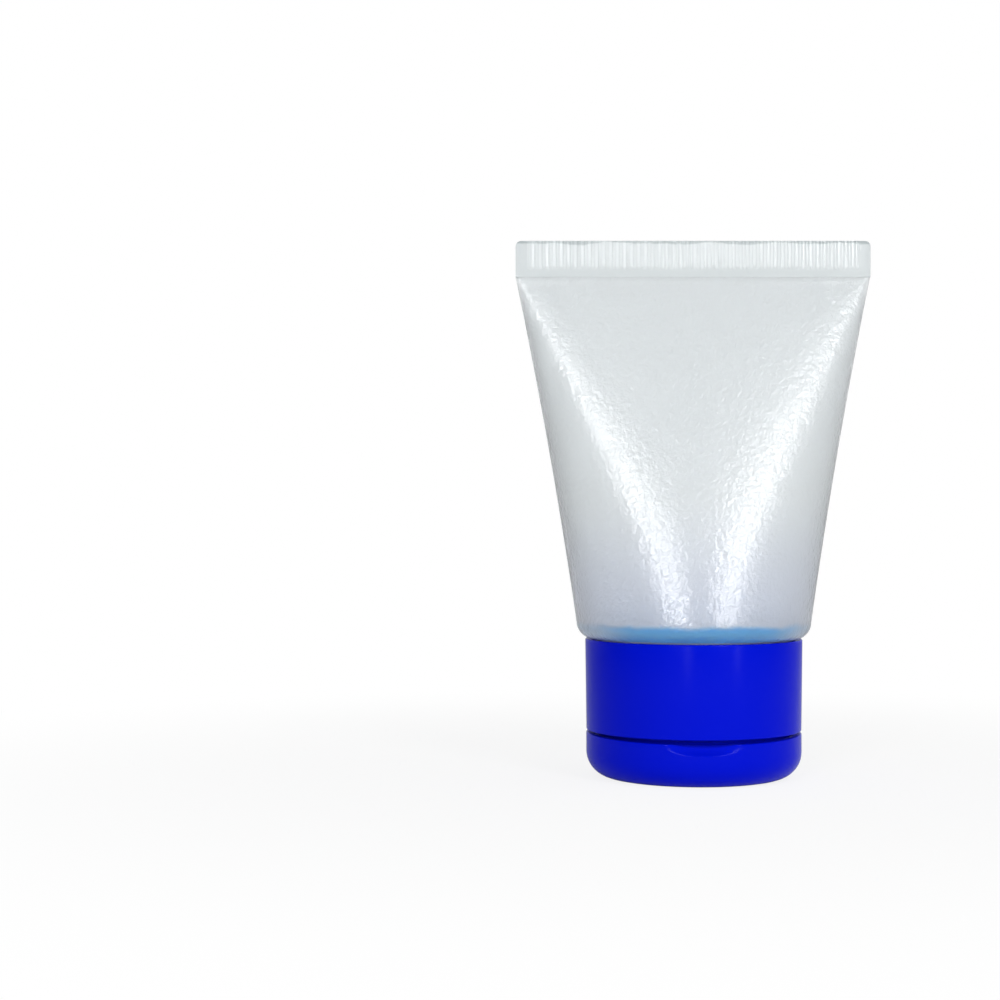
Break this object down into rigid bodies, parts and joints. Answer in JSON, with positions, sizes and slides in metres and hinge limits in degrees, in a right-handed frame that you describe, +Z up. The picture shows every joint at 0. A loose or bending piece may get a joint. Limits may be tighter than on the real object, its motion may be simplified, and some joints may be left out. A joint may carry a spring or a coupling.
{
  "type": "travel squeeze tube",
  "caption": "small frosted squeeze tube with a crimped flat end, standing upside down on a blue screw-on cap with a flip-up lid",
  "frame": {"origin": "middle of the lid's standing face, under the tube's axis", "axes": "+Z up along the tube's axis towards the crimped end, +X along the width of the crimped end, -Y towards the thumb recess, +Y towards the hinge"},
  "size_m": [0.0534, 0.035, 0.0803],
  "materials": {
    "frosted_polyethylene": "frosted, see-through",
    "frosted_polyethylene_head": "frosted, see-through",
    "blue_polypropylene": "smooth, glossy",
    "blue_polypropylene_film": "smooth, glossy"
  },
  "bodies": {
    "cap": {"cap_base": "blue_polypropylene", "hinge_film": "blue_polypropylene_film"},
    "tube": {"tube_sleeve": "frosted_polyethylene", "tube_shoulder": "frosted_polyethylene_head"},
    "lid": {"cap_lid": "blue_polypropylene"}
  },
  "joints": [
    {"name": "tube_lift", "type": "slide", "parent": "cap", "child": "tube", "axis": [0, 0, 1], "range_m": [0, 0.015]},
    {"name": "lid_flip", "type": "hinge", "parent": "cap", "child": "lid", "pos_m": [0, 0.01685, 0.00705], "axis": [1, 0, 0], "range_deg": [0, 180], "deforming": ["hinge_film"]}
  ]
}
